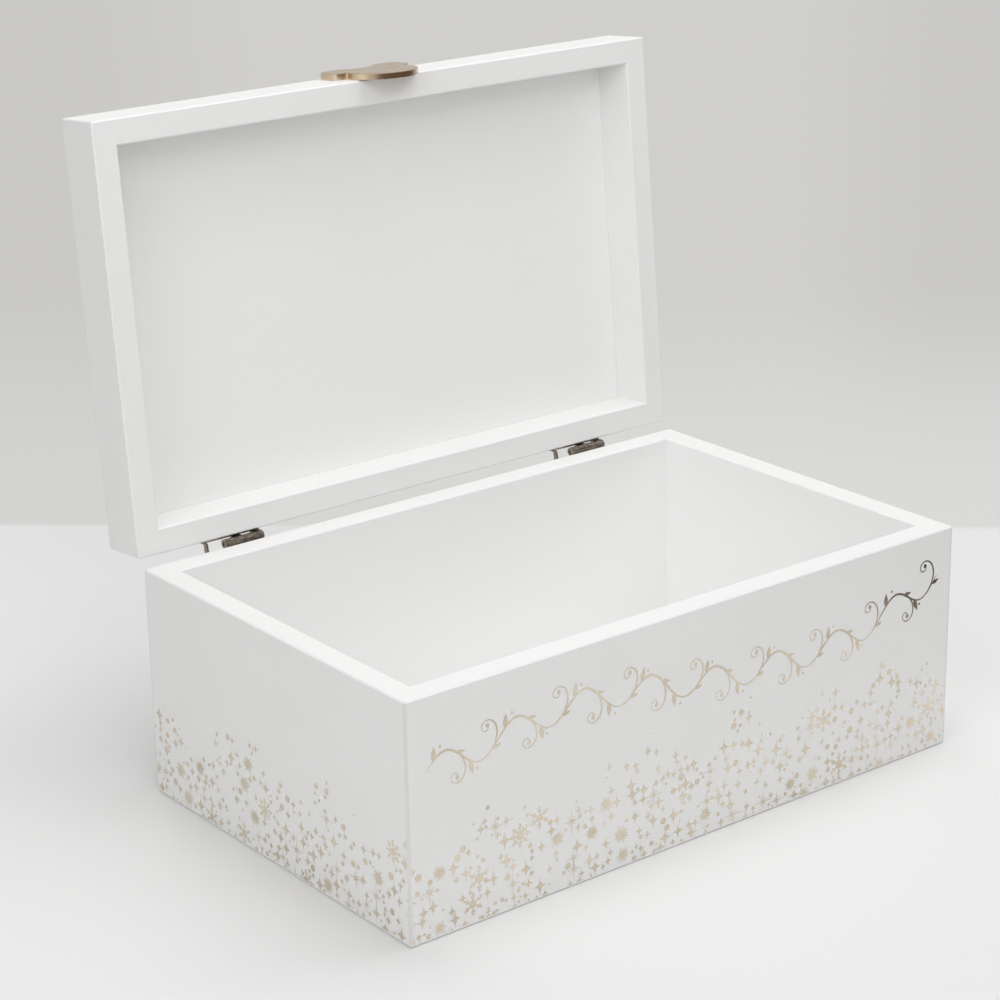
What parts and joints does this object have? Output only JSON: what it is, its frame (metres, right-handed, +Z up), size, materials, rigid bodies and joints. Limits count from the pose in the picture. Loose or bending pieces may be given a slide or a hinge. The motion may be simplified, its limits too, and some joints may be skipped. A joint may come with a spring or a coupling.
{
  "type": "keepsake box",
  "caption": "Rectangular painted board box for papers and keepsakes, with a framed lid on stop hinges and a cast lift tab, standing open.",
  "frame": {"origin": "middle of the box's base, on the surface it stands on", "axes": "+X along the long side, to the right of someone facing the front; +Y from the front to the hinges; +Z up"},
  "size_m": [0.32, 0.2476, 0.3182],
  "materials": {
    "board": "satin white paint on fibreboard",
    "gold": "satin champagne gold plate",
    "bronze": "dark antique bronze"
  },
  "bodies": {
    "box": {"front_panel": "board", "back_panel": "board", "left_panel": "board", "right_panel": "board", "base_panel": "board", "left_hinge_body_leaf": "bronze", "left_hinge_pin": "bronze", "left_hinge_body_screws": "bronze", "right_hinge_body_leaf": "bronze", "right_hinge_pin": "bronze", "right_hinge_body_screws": "bronze"},
    "lid": {"lid_top_panel": "board", "lid_front_rail": "board", "lid_back_rail": "board", "lid_left_rail": "board", "lid_right_rail": "board", "left_hinge_lid_leaf": "bronze", "left_hinge_lid_screws": "bronze", "right_hinge_lid_leaf": "bronze", "right_hinge_lid_screws": "bronze", "lid_tab": "gold", "lid_tab_screws": "gold"}
  },
  "joints": [
    {"name": "lid_hinge", "type": "hinge", "parent": "box", "child": "lid", "pos_m": [0, 0.1033, 0.11125], "axis": [1, 0, 0], "range_deg": [0, 95]}
  ]
}
